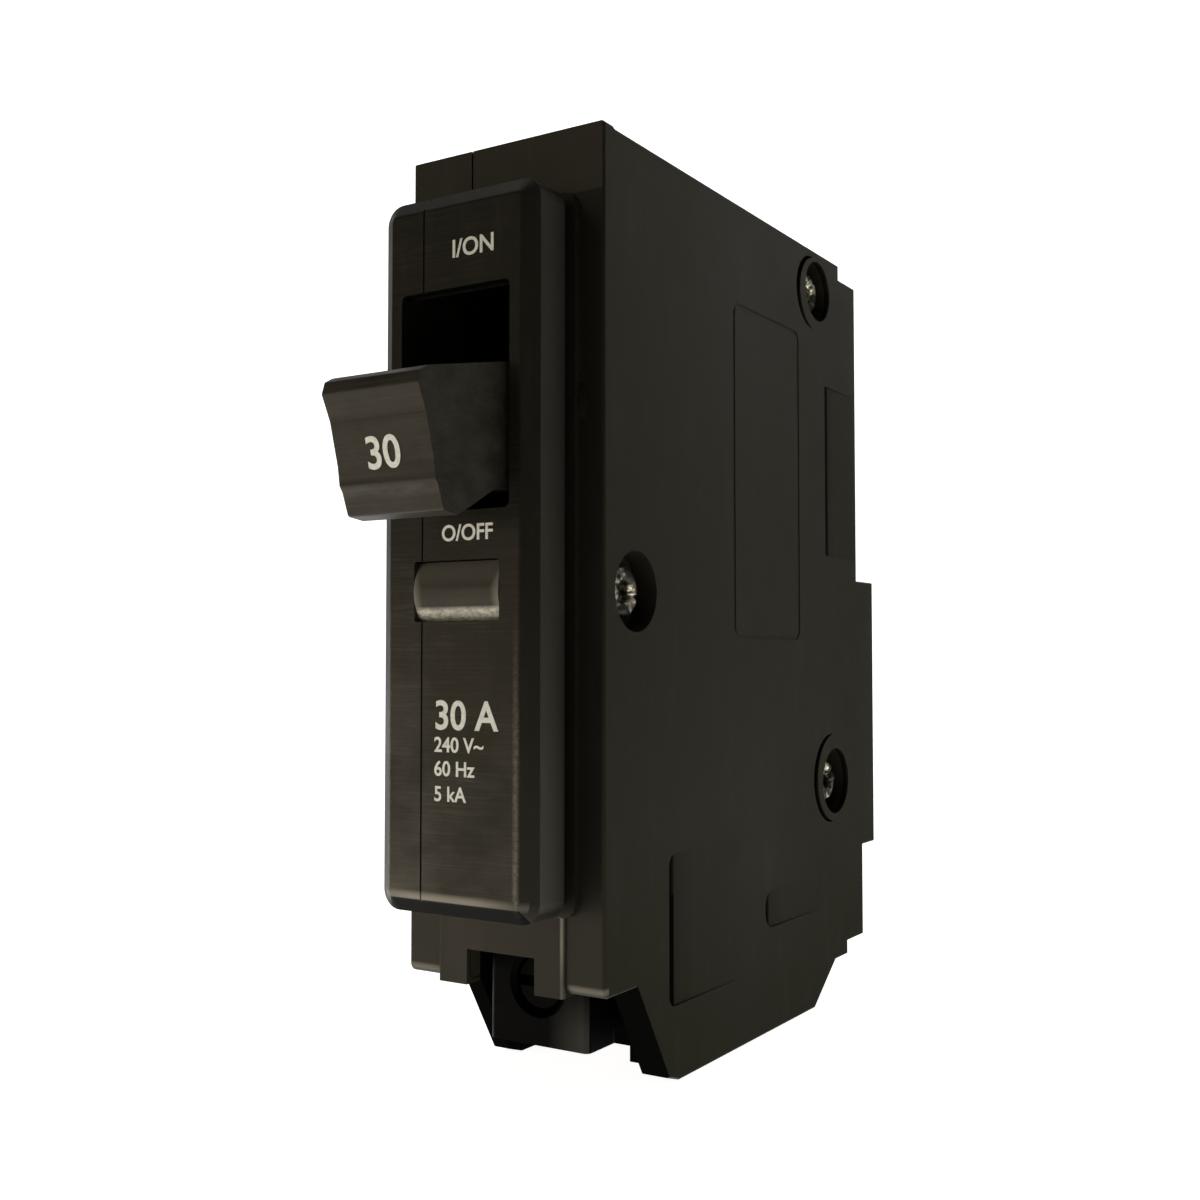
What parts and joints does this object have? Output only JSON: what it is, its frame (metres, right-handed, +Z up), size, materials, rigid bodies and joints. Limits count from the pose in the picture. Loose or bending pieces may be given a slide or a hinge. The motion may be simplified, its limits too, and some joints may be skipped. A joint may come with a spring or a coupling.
{
  "type": "circuit breaker",
  "caption": "Narrow plug-on single-pole circuit breaker with a toggle handle, indicator window, riveted two-part case, bus jaw, rail hook and load lug.",
  "frame": {"origin": "on the ground under the middle of the bounding box; the breaker stands on its two side wings with the ON and line end up", "axes": "+X across the width towards the base half, +Y towards the rear (panel side), +Z up along the height, from the load end to the line end"},
  "size_m": [0.019, 0.0722, 0.0766],
  "materials": {
    "black_thermoset": "moulded black phenolic, satin, fine machine lines",
    "handle_plastic": "moulded dark brown-black, dull",
    "clear_lens": "clear acrylic, polished",
    "indicator_plastic": "dark grey barrel with a signal red flank",
    "zinc_plated_steel": "zinc plated, slightly worn",
    "soft_steel": "plain pressed steel",
    "spring_steel": "drawn spring steel",
    "copper": "plain copper strip",
    "silver_contact": "silver alloy",
    "bimetal_strip": "rolled bimetal",
    "fibre": "vulcanised fibre sheet",
    "tinned_braid": "braided copper wire",
    "lug_metal": "blackened, satin"
  },
  "bodies": {
    "case": {"case_base": "black_thermoset", "case_cover": "black_thermoset", "case_rivets": "zinc_plated_steel", "fixed_contact": "silver_contact", "line_jaw": "copper", "jaw_spring": "spring_steel", "arc_plates": "soft_steel", "arc_cheeks": "fibre", "trip_lever_pin": "soft_steel", "main_spring": "spring_steel", "flexible_braid": "tinned_braid", "window_lens": "clear_lens", "lug": "lug_metal", "load_strap": "copper", "calibration_screw": "zinc_plated_steel", "rail_clip": "spring_steel"},
    "handle": {"handle": "handle_plastic"},
    "contact_arm": {"contact_arm": "copper", "moving_contact": "silver_contact"},
    "trip_lever": {"trip_lever": "soft_steel"},
    "trip_unit": {"bimetal": "bimetal_strip", "magnet_yoke": "soft_steel", "armature_pin": "soft_steel", "armature_spring": "spring_steel"},
    "armature": {"armature": "soft_steel"},
    "trip_flag": {"trip_flag": "indicator_plastic"},
    "pressure_plate": {"pressure_plate": "zinc_plated_steel"},
    "lug_screw": {"lug_screw": "lug_metal"}
  },
  "joints": [
    {"name": "handle_swing", "type": "hinge", "parent": "case", "child": "handle", "pos_m": [0, -0.01691, 0.0548], "axis": [-1, 0, 0], "range_deg": [0, 34], "deforming": ["main_spring", "flexible_braid"]},
    {"name": "arm_swing", "type": "hinge", "parent": "handle", "child": "contact_arm", "pos_m": [0, -0.00974, 0.05699], "axis": [-1, 0, 0], "range_deg": [-70, 0], "deforming": ["main_spring", "flexible_braid"]},
    {"name": "lever_trip", "type": "hinge", "parent": "case", "child": "trip_lever", "pos_m": [0, 0.00409, 0.0665], "axis": [1, 0, 0], "range_deg": [0, 12], "deforming": ["main_spring"]},
    {"name": "armature_pull", "type": "hinge", "parent": "trip_unit", "child": "armature", "pos_m": [0, 0.01109, 0.021], "axis": [-1, 0, 0], "range_deg": [0, 4.2], "deforming": ["armature_spring"]},
    {"name": "bimetal_bend", "type": "hinge", "parent": "case", "child": "trip_unit", "pos_m": [0, 0.01749, 0.0199], "axis": [-1, 0, 0], "range_deg": [0, 2], "stiffness_Nm_per_rad": 0.2, "deforming": ["flexible_braid"]},
    {"name": "flag_turn", "type": "hinge", "parent": "case", "child": "trip_flag", "pos_m": [0, -0.02131, 0.03995], "axis": [1, 0, 0], "range_deg": [0, 60]},
    {"name": "screw_feed", "type": "slide", "parent": "case", "child": "pressure_plate", "axis": [0, 1, 0], "range_m": [0, 0.003]},
    {"name": "screw_turn", "type": "hinge", "parent": "pressure_plate", "child": "lug_screw", "pos_m": [0, -0.01491, 0.0081], "axis": [0, 1, 0], "range_deg": [0, 1361]}
  ],
  "couplings": [
    {"joint": "arm_swing", "follows": "handle_swing", "ratio": -2.0588},
    {"joint": "armature_pull", "follows": "lever_trip", "ratio": 0.35},
    {"joint": "flag_turn", "follows": "lever_trip", "ratio": 5},
    {"joint": "screw_turn", "follows": "screw_feed", "rad_per_m": 7915.8}
  ]
}
